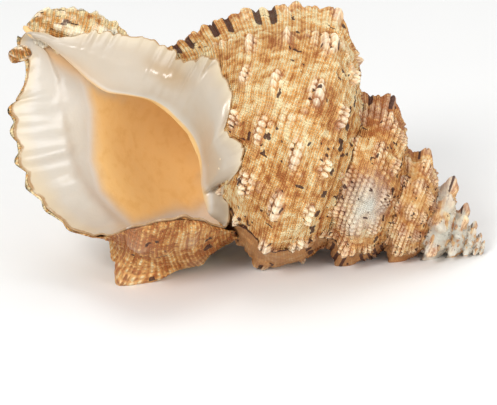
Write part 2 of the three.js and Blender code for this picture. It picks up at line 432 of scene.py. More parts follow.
class Board:
    """A material's node graph."""

    def __init__(self, name: str) -> None:
        """Starts a material with an empty graph.

        Args:
            name: The material's name.
        """
        self.material = bpy.data.materials.new(name)
        self.material.use_nodes = True
        self.tree = self.material.node_tree
        self.tree.nodes.clear()

    def node(
        self, kind: str, settings: dict[str, Any], inputs: dict[Any, Any], out: int = 0
    ) -> Wire:
        """Adds any node.

        Args:
            kind: The node's type.
            settings: Its own properties, set first.
            inputs: Values or wires by socket name or number.
            out: Which output to return.

        Returns:
            The chosen output.
        """
        made = self.tree.nodes.new(kind)
        for key, value in settings.items():
            setattr(made, key, value)
        for key, value in inputs.items():
            if isinstance(value, Wire):
                self.tree.links.new(value.socket, made.inputs[key])
            else:
                made.inputs[key].default_value = value
        return Wire(self, made.outputs[out])

    def math(self, operation: str, first: "Wire | float", second: "Wire | float") -> Wire:
        """Adds a Math node."""
        return self.node("ShaderNodeMath", {"operation": operation}, {0: first, 1: second})

    def layer(self, name: str) -> Wire:
        """Reads one of the mesh's own layers."""
        return self.node("ShaderNodeAttribute", {"attribute_name": name}, {}, out=2)

    def noise(self, scale: float, detail: float = 2.0, rough: float = 0.5) -> Wire:
        """Noise that is fixed to the object.

        Args:
            scale: Lumps per metre.
            detail: How many finer layers it has.
            rough: How strong they are.

        Returns:
            The noise from 0 to 1.
        """
        place = self.node("ShaderNodeTexCoord", {}, {}, out=3)
        inputs = {"Vector": place, "Scale": scale, "Detail": detail, "Roughness": rough}
        return self.node("ShaderNodeTexNoise", {}, inputs)

    def bumped(self, strength: float, distance: float, height: Wire) -> Wire:
        """The normal over a height that is given in shares of the distance in metres."""
        inputs = {"Strength": strength, "Distance": distance, "Height": height}
        return self.node("ShaderNodeBump", {}, inputs)

    def mix(self, first: "Wire | str", second: "Wire | str", factor: Wire) -> Wire:
        """Mixes two colours.

        Args:
            first: The colour at factor 0, a wire or a #rrggbb paint.
            second: The colour at factor 1.
            factor: How far to go from the first to the second.

        Returns:
            The mixed colour.
        """
        colours = [paint(c) if isinstance(c, str) else c for c in (first, second)]
        inputs = {0: factor, 6: colours[0], 7: colours[1]}
        return self.node("ShaderNodeMix", {"data_type": "RGBA"}, inputs, out=2)

    def finish(self, shader: dict[str, Any]) -> bpy.types.Material:
        """Ends the graph in a Principled shader.

        Args:
            shader: Values and wires by socket name.

        Returns:
            The material.
        """
        surface = self.node("ShaderNodeBsdfPrincipled", {}, shader)
        output = self.tree.nodes.new("ShaderNodeOutputMaterial")
        self.tree.links.new(surface.socket, output.inputs["Surface"])
        return self.material


def paint(code: str) -> tuple[float, float, float, float]:
    """Turns a #rrggbb paint into linear light.

    Args:
        code: The paint as it looks.

    Returns:
        Red, green, blue and alpha.
    """
    parts = [int(code[i : i + 2], 16) / 255 for i in (1, 3, 5)]
    linear = [c / 12.92 if c <= 0.04045 else ((c + 0.055) / 1.055) ** 2.4 for c in parts]
    return (linear[0], linear[1], linear[2], 1.0)


@dataclass(frozen=True)
class OuterFinish:
    """The dull beaded outside: cream cords on an orange-brown ground, with dark dashes."""

    name: str = "shell_outside"
    cream: str = "#f7e0ac"
    straw: str = "#e3a75c"
    rust: str = "#a5581c"
    bead: str = "#f8ecd2"
    dark: str = "#451f12"
    lip_face: str = "#a97747"
    chalk: str = "#dcd9cb"
    relief: float = 0.0009

    def made(self) -> bpy.types.Material:
        """Builds the node graph.

        Returns:
            The material.
        """
        b = Board(self.name)
        ridge, knob, dash = b.layer("ridge"), b.layer("knob"), b.layer("dash")
        face, worn, warm = b.layer("face"), b.layer("worn"), b.layer("warm")
        cord, line, size = b.layer("cord"), b.layer("line"), b.layer("size")
        patches, mottles, grains = b.noise(75, 3), b.noise(420, 3), b.noise(1500, 2)
        bead = cord.wave() * (0.35 + 0.65 * line.wave())
        stain = 0.68 - 0.42 * ridge - 0.55 * bead + 2.4 * (mottles - 0.5) + 1.4 * (patches - 0.5)
        stain = stain + 0.5 * (warm - 0.5) + 0.3 * (1 - size).step(0.1, 0.5)
        ground = b.mix(self.cream, self.straw, stain.step(0.0, 0.55))
        ground = b.mix(ground, self.rust, stain.step(0.5, 1.15) * 0.9)
        ground = b.mix(ground, self.bead, (knob * (0.5 + 0.5 * bead)).held())
        specks = (grains - 0.62).step(0.0, 0.08) * (mottles - 0.4).step(0.0, 0.2)
        ground = b.mix(ground, self.rust, (specks * 0.6).held())
        ground = b.mix(ground, self.lip_face, (face * (0.55 + 0.6 * mottles)).held())
        chalky = (worn * (0.5 + 0.9 * patches) - 0.18 * bead).held()
        ground = b.mix(ground, self.chalk, chalky)
        dashes = (dash + 0.5 * (grains - 0.5)).step(0.42, 0.62)
        ground = b.mix(ground, self.dark, dashes * 0.93)
        height = (bead * (1 - 0.85 * face)) * (1 - 0.7 * knob) * size
        height = height + 0.3 * grains + 0.3 * mottles - 0.3 * dashes * size
        normal = b.bumped(1.0, self.relief, height)
        roughness = 0.62 - 0.16 * ridge + 0.2 * (mottles - 0.5)
        return b.finish({"Base Color": ground, "Roughness": roughness, "Normal": normal})


@dataclass(frozen=True)
class MouthFinish:
    """The glazed mouth: white porcelain that turns orange inside and tan at its edge; the orange
    hollow is brightened by painted light that glows from it.
    """

    name: str = "shell_mouth"
    white: str = "#cfc8bc"
    pearl: str = "#cfd3d6"
    cream: str = "#d9c7a6"
    tan: str = "#a87d48"
    orange: str = "#ecc27f"
    deep: str = "#ddab61"
    lilac: str = "#b59c7c"
    # painted shade: the peach-tan that darkens the channel of the canal
    groove_shade: str = "#dbb68a"
    relief: float = 0.0006
    # painted light: how strongly the orange hollow glows, brightening it as if more light
    # reached inside
    painted_glow: float = 0.15
    coat: float = 0.4
    coat_roughness: float = 0.16

    def made(self) -> bpy.types.Material:
        """Builds the node graph.

        Returns:
            The material.
        """
        b = Board(self.name)
        inside, edge, grey = b.layer("inside"), b.layer("edge"), b.layer("grey")
        groove_shade = b.layer("groove_shade")
        patches, mottles, grains = b.noise(60, 3), b.noise(260, 3), b.noise(1300, 2)
        glaze = b.mix(self.white, self.cream, (edge * 0.9 + 0.9 * (patches - 0.55)).held())
        glaze = b.mix(glaze, self.lilac, (grey * (0.4 + patches)).held())
        band = inside.step(0.0, 0.22) * (1 - inside.step(0.3, 0.7))
        glaze = b.mix(glaze, self.pearl, band * 0.8)
        # painted shade: the channel of the canal turns peach-tan, more so deeper in
        glaze = b.mix(glaze, self.groove_shade, groove_shade)
        warm = b.mix(self.orange, self.deep, (mottles - 0.5).step(-0.05, 0.25) * 0.55)
        colour = b.mix(glaze, warm, (inside + 0.12 * (mottles - 0.5)).held())
        rim = (edge + 0.12 * (mottles - 0.5)).step(0.955, 1.0)
        colour = b.mix(colour, self.tan, rim * 0.85)
        height = mottles + 0.25 * grains
        normal = b.bumped(0.18, self.relief, height)
        roughness = 0.32 + 0.16 * inside + 0.1 * (mottles - 0.5) + 0.3 * rim
        shader = {"Base Color": colour, "Roughness": roughness, "Normal": normal}
        # painted light: the orange inside glows faintly to lighten the shaded hollow
        painted_glow = b.mix("#000000", self.orange, inside)
        shader |= {"Emission Color": painted_glow, "Emission Strength": self.painted_glow}
        coat = {"Coat Weight": self.coat, "Coat Roughness": self.coat_roughness}
        return b.finish(shader | coat)


@dataclass(frozen=True)
class GroundFinish:
    """The plain pale floor."""

    name: str = "floor_paper"
    white: str = "#f7f7f6"
    grey: str = "#f1f1f0"

    def made(self) -> bpy.types.Material:
        """Builds the node graph.

        Returns:
            The material.
        """
        b = Board(self.name)
        colour = b.mix(self.white, self.grey, b.noise(6, 2))
        return b.finish({"Base Color": colour, "Roughness": 0.75})


# ---- the outside
@dataclass(frozen=True)
class Dash:
    """One dark dash painted on the outside."""

    angle: float
    place: float
    length: float
    width: float

    def at(self, place: Array, angle: Array) -> Array:
        """How strongly the dash covers each point."""
        across = ((place - self.place) / self.width) ** 4
        return np.exp(-across - ((angle - self.angle) / self.length) ** 4)


@dataclass
class Sculpture:
    """The relief and the markings of the outside."""

    cords: float = 30
    fine_cords: int = 3
    lines: float = 230
    # growth angle from one old lip to the next, and between knobs
    varix_step: float = 180 * DEG
    knob_step: float = 30 * DEG
    tip_knob_step: float = 45 * DEG
    knob_width: float = 7.5 * DEG
    tip_knob_width: float = 10 * DEG
    spine_width: float = 6.5 * DEG
    knob_across: float = 0.026
    keel: float = 0.275
    # the rows of knobs: place on the section and height
    rows: tuple[tuple[float, float], ...] = (
        (0.14, 0.009), (0.275, 0.04), (0.43, 0.028), (0.56, 0.014),
    )
    varix_height: Table = Table(
        (
            (0, 0.006), (0.12, 0.022), (0.275, 0.032), (0.45, 0.038), (0.6, 0.034),
            (0.8, 0.02), (1, 0),
        )
    )
    # heights are in shares, and steps and places along the growth are angles
    pearl_step: float = 3.6 * DEG
    pearl_height: float = 0.024
    cord_height: float = 0.005
    fine_height: float = 0.0032
    lump_height: float = 0.012
    seam_height: float = 0.008
    step_height: float = 0.012
    spine_height: float = 0.2
    crest_pitch: float = 1.5
    crest_height: float = 0.03
    lip_knob_height: float = 0.035
    back_knob_height: float = 0.06
    back_knob: float = -45 * DEG
    under_shield: float = -305 * DEG
    worn_patch: float = -645 * DEG
    # the old lip whose front is barred right across, and the growth where old lips begin
    wide_bars: int = -4
    first_old: float = -60 * DEG
    # growth angle over which an old lip rises to its crest and falls from it
    rise: float = 22 * DEG
    fall: float = 26 * DEG
    noise_seed: int = 11
    dash_seed: int = 5
    # dashes along the suture, beside the knobs and loose: angles in degrees of growth,
    # places and widths in shares of the section
    first_dash: float = -1090.0
    suture_gap: tuple[float, float] = (9, 19)
    suture_length: tuple[float, float] = (2.4, 4.6)
    suture_place: tuple[float, float] = (0.084, 0.092)
    suture_width: float = 0.014
    beside_knob: tuple[float, float] = (0.018, 0.04)
    knob_dash: tuple[float, float] = (0.9, 1.8)
    knob_dash_width: tuple[float, float] = (0.004, 0.007)
    loose_dashes: int = 24
    loose_place: tuple[float, float] = (0.1, 0.7)
    loose_length: tuple[float, float] = (0.8, 1.8)
    loose_width: float = 0.005

    def __post_init__(self) -> None:
        """Draws the noise and scatters the dark dashes."""
        self.noise = Noise(self.noise_seed)
        self.dashes = self.scattered()

    def scattered(self) -> list[Dash]:
        """Places the dashes: along the suture, beside the knobs, and a few between.

        Returns:
            The dashes.
        """
        rng = np.random.default_rng(self.dash_seed)
        dashes = []
        angle = self.first_dash
        while angle < 20:
            angle += rng.uniform(*self.suture_gap)
            length = rng.uniform(*self.suture_length) * DEG
            place = rng.uniform(*self.suture_place)
            dashes.append(Dash(angle * DEG, place, length, self.suture_width))
        for knob in range(-36, 2):
            for row, _ in self.rows[1:3]:
                for _ in range(rng.integers(1, 3)):
                    at = knob * 30 + rng.uniform(-10, 10)
                    place = row + rng.choice([-1, 1]) * rng.uniform(*self.beside_knob)
                    length = rng.uniform(*self.knob_dash) * DEG
                    width = rng.uniform(*self.knob_dash_width)
                    dashes.append(Dash(at * DEG, place, length, width))
        for _ in range(self.loose_dashes):
            at, place = rng.uniform(-1080, 0) * DEG, rng.uniform(*self.loose_place)
            length = rng.uniform(*self.loose_length) * DEG
            dashes.append(Dash(at, place, length, self.loose_width))
        return dashes

    def tip_share(self, angle: Array) -> Array:
        """0 on the large turns and 1 on the spiny turns of the tip."""
        return ease(-angle / TURN, 2.5, 4)

    def knobs(self, place: Array, angle: Array) -> tuple[Array, Array]:
        """The knobs and the spikes on the keels.

        Args:
            place: Where on the section.
            angle: Growth angle.

        Returns:
            Their height, and how much each point belongs to one, from 0 to 1.
        """
        tip = self.tip_share(angle)
        large = bump(off_step(angle, self.knob_step), self.knob_width)
        small = bump(off_step(angle, self.tip_knob_step), self.tip_knob_width)
        on_knob = large * (1 - tip) + small * tip
        uneven = 0.6 + 0.8 * self.noise.at(angle / self.knob_step, place * 9, 7.3)
        taller = 1 + 1.5 * ease(-angle / TURN, 1.4, 2.2)
        height = np.zeros_like(place)
        mask = np.zeros_like(place)
        near_old = bump(off_step(angle, self.varix_step), 12 * DEG) * (angle < self.first_old)
        clear = 1 - 0.8 * near_old
        for row, tall in self.rows:
            wider = 0.014 * (taller - 1) + 0.016 * tip * (row == self.keel)
            across = bump(place - row, self.knob_across + wider)
            covered = bump(angle - self.under_shield, 26 * DEG) * (row > 0.5)
            height += tall * taller * uneven * on_knob * across * clear * (1 - covered)
            mask = np.maximum(mask, on_knob * across)
        on_keel = bump(place - self.keel, 0.05)
        from_varix = off_step(angle, self.varix_step)
        spine = bump(off_step(angle, self.tip_knob_step), self.spine_width)
        height += self.spine_height * tip * spine * bump(place - self.keel, 0.06)
        spike = (0.012 + 0.012 * (angle < -1)) * (1 + 1.4 * ease(-angle / TURN, 1.2, 1.8))
        height += spike * bump(from_varix, 7 * DEG) * on_keel
        height += self.lip_knob_height * bump(angle, 8 * DEG) * on_keel
        back_knob = bump(angle - self.back_knob, 9 * DEG) * on_keel
        return height + self.back_knob_height * back_knob, mask

    def beaded(self, place: Array, angle: Array, on_knob: Array, lip: Array) -> Array:
        """How strongly the cords swell into large round beads.

        Args:
            place: Where on the section.
            angle: Growth angle.
            on_knob: How much each point belongs to a knob.
            lip: How near each point is to an old lip's crest.

        Returns:
            The strength, from 0 to 1.
        """
        turns = -angle / TURN
        swell = self.noise.at(angle * 3.1, place * 9, 14)
        strength = 2.1 * on_knob + 1.8 * (swell - 0.6)
        strength += 0.45 * ease(turns, 0.9, 1.5) * (1 - 0.6 * ease(turns, 2.6, 3.6))
        crest = lip * ease(place, 0.26, 0.32) * (1 - ease(place, 0.75, 0.9))
        return np.clip(np.maximum(strength * (1 - crest), 0.3 * crest), 0, 1)

    def pearls(self, cord: Array, angle: Array, strength: Array) -> tuple[Array, Array, Array]:
        """The large round beads strung along the cords.

        Args:
            cord: Cords counted from the suture.
            angle: Growth angle.
            strength: How strongly the cords are beaded.

        Returns:
            Their height, how much each point belongs to one, and the dark gaps beside them.
        """
        number = np.round(cord)
        turned = angle / self.pearl_step + 0.5 * (number % 2)
        bead = np.round(turned)
        size = 0.72 + 0.33 * self.noise.pick(number, bead, 9)
        off = ((cord - number) / 0.5) ** 2 + ((turned - bead) / 0.52) ** 2
        dome = np.sqrt(np.clip(1 - off / size**2, 0, 1))
        chosen = self.noise.pick(number, bead, 21) + 0.9 * strength
        chosen = ease(chosen, 0.55, 1.0) * strength
        dark = ease(self.noise.pick(number, bead, 5), 0.62, 0.72)
        gaps = ease(1 - dome, 0.75, 1) * dark * strength
        return self.pearl_height * dome * chosen, dome**0.5 * chosen, 0.6 * gaps

    def crest_knobs(self, cord: Array, angle: Array) -> Array:
        """The round knobs that sit side by side along an old lip's crest.

        Args:
            cord: Cords counted from the suture.
            angle: Growth angle.

        Returns:
            Their height, from 0 to about 1.
        """
        across = cord / self.crest_pitch
        number = np.round(across)
        varix = np.round(angle / self.varix_step)
        tall = 0.7 + 0.5 * self.noise.pick(number * 3, varix, 6)
        return tall * np.sqrt(np.clip(1 - ((across - number) / 0.52) ** 2, 0, 1))

    def flecks(self, cord: Array, angle: Array) -> Array:
        """Small dark flecks strewn between the cords.

        Args:
            cord: Cords counted from the suture.
            angle: Growth angle.

        Returns:
            How dark each point is.
        """
        small = self.noise.at(angle * 30, cord * 1.6, 12)
        crowd = self.noise.at(angle * 5, cord * 0.35, 19)
        return ease(small + 0.7 * (crowd - 0.75), 0.82, 0.88)

    def made(self, place: Array, angle: Array) -> tuple[Array, Layers]:
        """The whole relief and the layers that the finish reads.

        Args:
            place: Where on the section.
            angle: Growth angle.

        Returns:
            The height over the section in shares, and the layers by name.
        """
        n = self.noise
        wander = n.at(angle * 4, place * 14) - 0.5
        cord = self.cords * place + 0.35 * wander
        line = self.lines * angle / TURN + 0.9 * (n.at(angle * 9, place * 30, 3) - 0.5)
        primary, fine, axial = wave(cord), wave(cord * self.fine_cords), wave(line)
        lumps = n.at(angle * 16, place * 23, 5) - 0.5
        from_varix = off_step(angle, self.varix_step)
        old = (angle < self.first_old).astype(float)
        before = np.clip(1 + from_varix / self.rise, 0, 1) ** 2.2
        after = np.clip(1 - from_varix / self.fall, 0, 1) ** 1.7
        behind = 13 * DEG * ease(place, 0.3, 0.42)
        new = bump(angle + behind, 9 * DEG) * (1 - 0.55 * ease(place, 0.33, 0.45))
        lip = np.where(from_varix <= 0, before, after) * old + new * (1 - old)
        face = ease(from_varix, 0.4 * DEG, 1.5 * DEG) * (
            1 - ease(from_varix, self.fall - DEG, self.fall + DEG)
        )
        face = face * old * (1 - self.tip_share(angle))
        crest_at = lip * ease(place, 0.26, 0.3) * (1 - ease(place, 0.75, 0.9))
        crest_knob = self.crest_knobs(cord, angle)
        raised = self.varix_height.at(place) * lip * (1 + 0.35 * lumps)
        raised = raised + self.crest_height * crest_knob * crest_at**0.8
        seam = bump(from_varix - self.fall - 0.6 * DEG, 0.9 * DEG) * old
        knob, on_knob = self.knobs(place, angle)
        strength = self.beaded(place, angle, on_knob, lip) * (1 - face)
        strength = strength * (1 - 0.85 * ease(angle, -14 * DEG, -4 * DEG))
        pearl, on_pearl, gaps = self.pearls(cord, angle, strength)
        strong = 0.55 + 0.9 * n.at(angle * 5, np.floor(cord) * 3.7, 8)
        smooth = lip * (1 - ease(place, 0.25, 0.3)) + 0.5 * lip
        grain = self.cord_height * primary**0.8 * strong * (1 - 0.6 * smooth)
        grain = grain + self.fine_height * fine * (0.4 + 0.6 * axial) * (0.6 + 0.8 * lumps)
        grain = grain + pearl
        uneven = self.lump_height * (1 + 0.9 * ease(-angle / TURN, 1.0, 2.0)) * lumps
        step = self.step_height * ease(place, 0.045, 0.085) * (1 - ease(place, 0.1, 0.2))
        height = raised + knob + grain * (1 - 0.8 * face) + uneven
        height = height + self.seam_height * seam + step
        dash = np.zeros_like(place)
        ragged = n.at(angle * 40, place * 90, 22)
        for one in self.dashes:
            near = np.abs(angle - one.angle) < 2.5 * one.length
            shifted = place[near] + 0.012 * (ragged[near] - 0.5)
            turned = angle[near] + 2.4 * DEG * lumps[near]
            dash[near] = np.maximum(dash[near], one.at(shifted, turned))
        dash = np.maximum(dash, self.bars(place, cord, from_varix, angle) * old)
        dash = np.maximum(dash, 0.95 * seam * ease(place, 0.1, 0.2))
        near_lip = ease(angle, -12 * DEG, -4 * DEG)
        small = np.maximum(gaps, self.flecks(cord, angle)) * (1 - face) * (1 - lip)
        dash = np.maximum(dash, small)
        below = 1.1 * ease(angle, -4 * DEG, 10 * DEG) * (1 - ease(place, 0.45, 0.6))
        crack = 0.9 * np.clip(strength - on_pearl, 0, 1) + 0.8 * crest_at * (1 - crest_knob)
        bright = 0.95 - 0.45 * ease(-angle / TURN, 1.0, 1.4) - 0.25 * lip
        seam_line = bump(place - 0.052, 0.012) * (angle < -40 * DEG)
        warm = np.clip(n.at(angle * 2.2, place * 6, 9) + 0.75 * lip, 0, 1.4)
        layers = {
            "ridge": np.clip(0.5 * primary + 0.3 * fine + 0.9 * lumps - crack, -0.6, 1),
            "knob": np.clip(0.2 * on_knob + bright * on_pearl, 0, 1),
            "dash": dash * (1 - near_lip * ease(place, 0.3, 0.36)),
            "face": face,
            "worn": self.worn(place, angle),
            "warm": warm + below + seam_line,
            "cord": cord * self.fine_cords,
            "line": line,
            "size": GROWTH.share(angle),
        }
        return height, layers

    def bars(self, place: Array, cord: Array, from_varix: Array, angle: Array) -> Array:
        """Dark bars between the cords where they cross an old lip.

        Args:
            place: Where on the section.
            cord: Cords counted from the suture.
            from_varix: Growth angle from the old lip's crest.
            angle: Growth angle.

        Returns:
            How dark each point is.
        """
        gap = 1 - wave(cord / self.crest_pitch)
        number = np.floor(cord / self.crest_pitch)
        varix = np.round(angle / self.varix_step)
        chosen = self.noise.pick(number * 7, varix * 5, 3)
        front = np.where(varix == self.wide_bars, 22 * DEG, 3 * DEG)
        along = ease(from_varix, -15 * DEG, -9 * DEG) * (1 - ease(from_varix - front, -DEG, DEG))
        likely = 0.2 + 0.4 * (1 - ease(place, 0.36, 0.46)) + 0.4 * (1 - ease(place, 0.24, 0.28))
        likely = np.where(varix == self.wide_bars, 0.2, likely)
        return ease(gap, 0.5, 0.75) * along * (chosen > likely)

    def worn(self, place: Array, angle: Array) -> Array:
        """Where the colour has worn off: a patch on the turn before the last, and the tip.

        Args:
            place: Where on the section.
            angle: Growth angle.

        Returns:
            How worn each point is, from 0 to 1.
        """
        uneven = 0.7 + 0.6 * self.noise.at(angle * 6, place * 18, 1)
        patch = bump(angle - self.worn_patch, 22 * DEG) * bump(place - 0.24, 0.13)
        tip = 0.95 * ease(-angle / TURN, 3.0, 3.8)
        tip = tip * (1 - 0.8 * ease(self.noise.at(angle * 3.5, place * 16, 25), 0.52, 0.68))
        return np.clip((patch * 0.9 + tip) * uneven, 0, 1)


SCULPTURE = Sculpture()


@dataclass
class WallStretch(Sheet):
    """A stretch of the outer wall between two growth angles."""

    first: float
    last: float
    until: float = 1.0
    wall: float = 0.018
    # how many times more columns the outside has than the inside
    coarser: int = 5
    # how far and over how many rows an end dips under its neighbour
    dip: float = 0.012
    dip_rows: int = 5

    def angles(self, row: Array, place: Array) -> Array:
        """The growth angle of each row."""
        return self.first + (self.last - self.first) * row / self.rows

    def flared(self, place: Array, angle: Array) -> Array:
        """How far the wall stands out beyond the plain section."""
        return np.zeros_like(place)

    def calmed(self, height: Array, place: Array, angle: Array) -> Array:
        """The relief, held down where nothing may stand proud."""
        return height

    def moved(self, row: Array, column: Array) -> tuple[Array, Layers]:
        """Puts the grid on the wall: the outside first, then back along the inside.

        Args:
            row: Row of each vertex, which runs with the growth.
            column: Column of each vertex, which runs round the wall.

        Returns:
            The points and the layers.
        """
        outside = self.columns * self.coarser // (self.coarser + 1)
        inward = (column - outside) / (self.columns - outside)
        place = np.where(column <= outside, column / outside, 1 - inward) * self.until
        angle = self.angles(row, place)
        height, layers = SCULPTURE.made(place, angle)
        last_rows = ease(row, self.rows - self.dip_rows, self.rows)
        sunk = 1 - ease(row, 0, self.dip_rows) + last_rows * self.dips_at_end()
        height = height - self.dip * sunk
        height = self.calmed(height, place, angle)
        hidden = (column > outside) & (column < self.columns) & (row > 0) & (row < self.rows)
        height = np.where(hidden, -self.wall, height) + self.flared(place, angle)
        along, out = SECTION.raised(place, height)
        return GROWTH.lying(GROWTH.grown(along, out, angle)), layers

    def dips_at_end(self) -> float:
        """1 where the last rows dip under the next stretch."""
        return 1.0


@dataclass(frozen=True)
class Lip:
    """The outer lip: how far its edge grows past the crest, and how far it flares."""

    flare_start: float = -34 * DEG
    wall: float = 0.04
    edge_wall: float = 0.009
    folds: int = 15
    edge: Table = Table(
        (
            (0, 18 * DEG), (0.1, 40 * DEG), (0.2, 46 * DEG), (0.25, 43 * DEG),
            (0.3, 36 * DEG), (0.35, 24 * DEG), (0.4, 12 * DEG), (0.48, 5 * DEG),
            (0.8, 4 * DEG), (1, 2 * DEG),
        )
    )
    flare: Table = Table(
        (
            (0.2, 0), (0.3, 0.015), (0.375, 0.055), (0.45, 0.115), (0.5, 0.145),
            (0.6, 0.19), (0.68, 0.185), (0.78, 0.178), (0.86, 0.13), (0.93, 0.04), (1, 0),
        )
    )

    def share(self, place: Array, angle: Array) -> Array:
        """How far a growth angle is through the flared stretch, 1 at the lip's edge."""
        edge = self.edge.at(place)
        return np.clip((angle - self.flare_start) / (edge - self.flare_start), 0, 1.4)

    def flared(self, place: Array, angle: Array) -> Array:
        """How far the wall stands out beyond the plain section."""
        return self.flare.at(place) * self.share(place, angle) ** 2

    def depth(self, place: Array, angle: Array) -> Array:
        """How far the inner face lies under the outer one."""
        share = np.minimum(1, self.share(place, angle)) ** 3
        return self.wall + (self.edge_wall - self.wall) * share

    def fold(self, place: Array) -> Array:
        """The folds that run in from the edge, 1 on their crests."""
        return wave(place * self.folds + 0.5 * SCULPTURE.noise.at(place * 9, 0, 2))

    def scallop(self, place: Array) -> Array:
        """Growth angle added to the edge where its folds end."""
        ragged = SCULPTURE.noise.at(place * 31, 0, 6)
        return (1.5 * self.fold(place) ** 0.8 + 1.2 * ragged - 1.2) * DEG


LIP = Lip()


@dataclass
class LipStretch(WallStretch):
    """The last stretch of the outer wall, which ends on the lip's edge."""

    bend: float = -45 * DEG
    bend_share: float = 0.6

    def angles(self, row: Array, place: Array) -> Array:
        """The growth angle of each row, fanned out to the lip's edge.

        Args:
            row: Row of each vertex.
            place: Where on the section.

        Returns:
            The growth angles.
        """
        share = row / self.rows
        plain = self.first + (self.bend - self.first) * share / self.bend_share
        fan = np.clip((share - self.bend_share) / (1 - self.bend_share), 0, 1)
        edge = LIP.edge.at(place) + LIP.scallop(place) - 0.5 * DEG
        return np.where(share < self.bend_share, plain, self.bend + (edge - self.bend) * fan)

    def flared(self, place: Array, angle: Array) -> Array:
        """How far the lip stands out beyond the plain section."""
        return LIP.flared(place, angle)

    def calmed(self, height: Array, place: Array, angle: Array) -> Array:
        """The relief, held down where the flared edge hides it."""
        near_edge = ease(LIP.share(place, angle), 0.35, 0.8) * ease(place, 0.34, 0.44)
        return height * (1 - 0.93 * near_edge)

    def dips_at_end(self) -> float:
        """The lip's edge doesn't dip."""
        return 0.0


